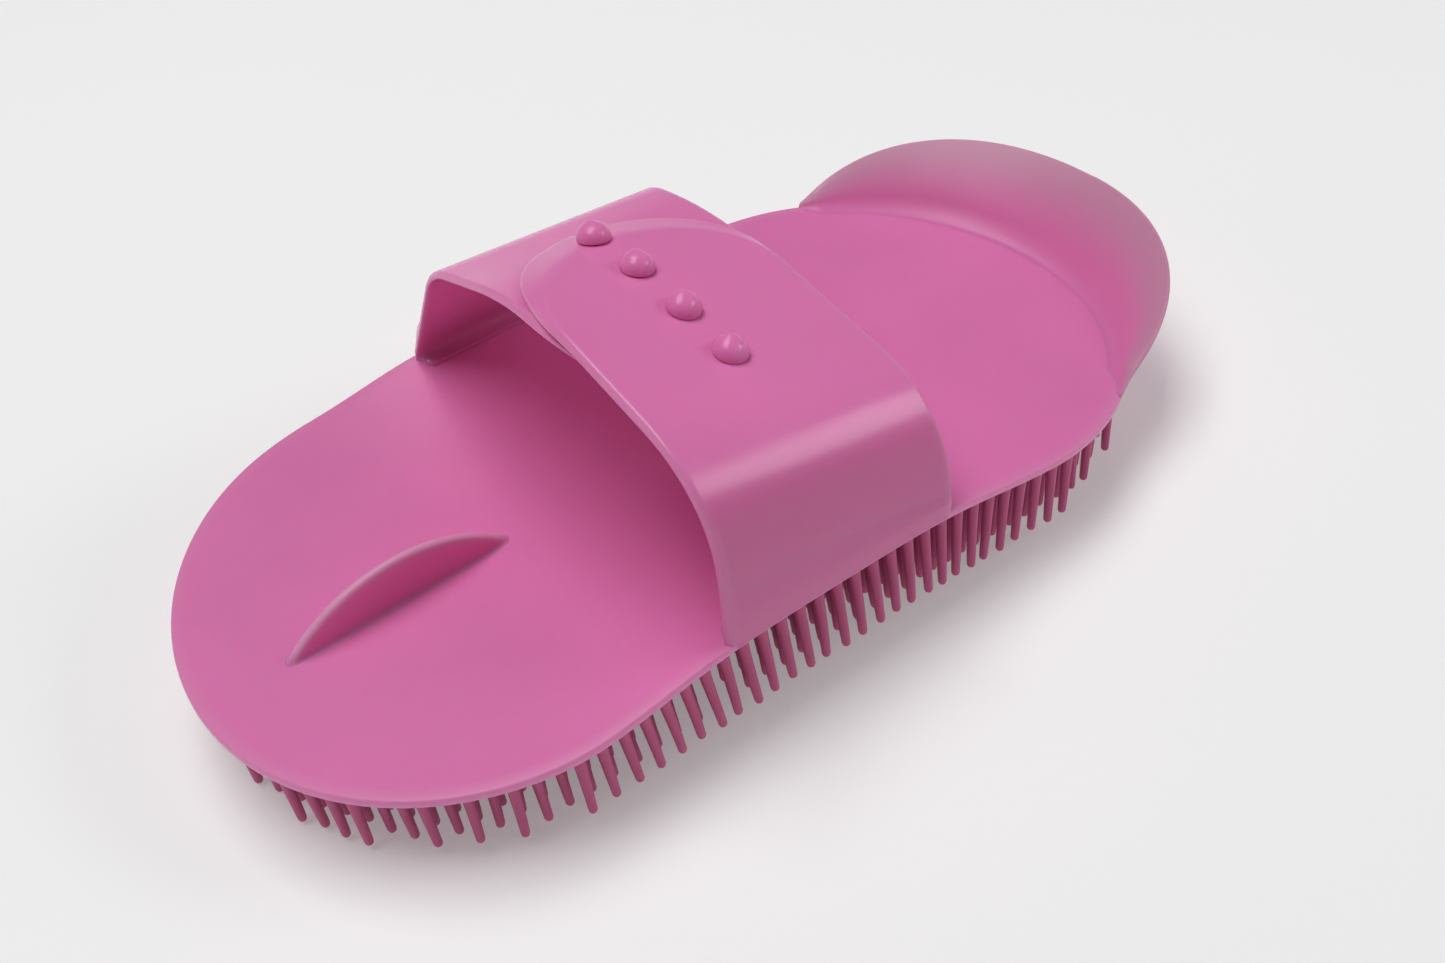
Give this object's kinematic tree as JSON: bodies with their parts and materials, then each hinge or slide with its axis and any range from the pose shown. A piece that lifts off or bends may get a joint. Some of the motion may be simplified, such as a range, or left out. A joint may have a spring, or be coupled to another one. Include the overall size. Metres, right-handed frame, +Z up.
{
  "type": "curry comb",
  "caption": "Soft plastic grooming comb for horses: a dished oval deck with rows of flexible teeth underneath and a buttoned hand strap on top.",
  "frame": {"origin": "centre of the box round the whole comb, at the level of its lowest teeth", "axes": "+X along the comb from the wrist end towards the guard, +Y across it towards the root of the inner flap, +Z up through the hand strap"},
  "size_m": [0.2084, 0.102, 0.0644],
  "materials": {
    "deck_plastic": "satin, slightly translucent soft polyethylene, rose pink",
    "tooth_plastic": "the same soft plastic, darker where the teeth shade each other",
    "strap_plastic": "satin, a little glossier over the folded shoulders",
    "guard_plastic": "satin, thin and greyer towards its free edge"
  },
  "bodies": {
    "comb": {"deck": "deck_plastic", "finger_rib": "deck_plastic", "guard_lip": "guard_plastic", "tooth_row_01": "tooth_plastic", "tooth_row_02": "tooth_plastic", "tooth_row_03": "tooth_plastic", "tooth_row_04": "tooth_plastic", "tooth_row_05": "tooth_plastic", "tooth_row_06": "tooth_plastic", "tooth_row_07": "tooth_plastic", "tooth_row_08": "tooth_plastic", "tooth_row_09": "tooth_plastic", "tooth_row_10": "tooth_plastic", "tooth_row_11": "tooth_plastic", "tooth_row_12": "tooth_plastic", "tooth_row_13": "tooth_plastic", "tooth_row_14": "tooth_plastic", "tooth_row_15": "tooth_plastic", "tooth_row_16": "tooth_plastic", "tooth_row_17": "tooth_plastic", "tooth_row_18": "tooth_plastic", "tooth_row_19": "tooth_plastic", "tooth_row_20": "tooth_plastic", "tooth_row_21": "tooth_plastic", "tooth_row_22": "tooth_plastic", "tooth_row_23": "tooth_plastic", "tooth_row_24": "tooth_plastic", "tooth_row_25": "tooth_plastic"},
    "outer_wall": {"outer_flap_wall": "strap_plastic"},
    "outer_tongue": {"outer_flap_tongue": "strap_plastic"},
    "inner_wall": {"inner_flap_wall": "strap_plastic"},
    "inner_tongue": {"inner_flap_tongue": "strap_plastic", "stud_1": "strap_plastic", "stud_2": "strap_plastic", "stud_3": "strap_plastic", "stud_4": "strap_plastic"}
  },
  "joints": [
    {"name": "outer_flap_root", "type": "hinge", "parent": "comb", "child": "outer_wall", "pos_m": [-0.00927, -0.04935, 0.02728], "axis": [1, 0.0001, 0.001], "range_deg": [0, 15]},
    {"name": "outer_flap_open", "type": "hinge", "parent": "outer_wall", "child": "outer_tongue", "pos_m": [-0.00915, -0.04354, 0.04722], "axis": [0.9831, 0.0028, -0.183], "range_deg": [0, 75]},
    {"name": "inner_flap_root", "type": "hinge", "parent": "comb", "child": "inner_wall", "pos_m": [-0.00927, 0.04897, 0.02674], "axis": [1, 0.0003, -0.0006], "range_deg": [-2, 0]},
    {"name": "inner_flap_press", "type": "hinge", "parent": "inner_wall", "child": "inner_tongue", "pos_m": [-0.00931, 0.03443, 0.05095], "axis": [0.998, 0.0093, -0.0618], "range_deg": [0, 20], "stiffness_Nm_per_rad": 0.15, "springref_deg": -1.72}
  ],
  "couplings": [
    {"joint": "outer_flap_root", "follows": "outer_flap_open", "ratio": 0.2},
    {"joint": "inner_flap_root", "follows": "inner_flap_press", "ratio": -0.1}
  ]
}
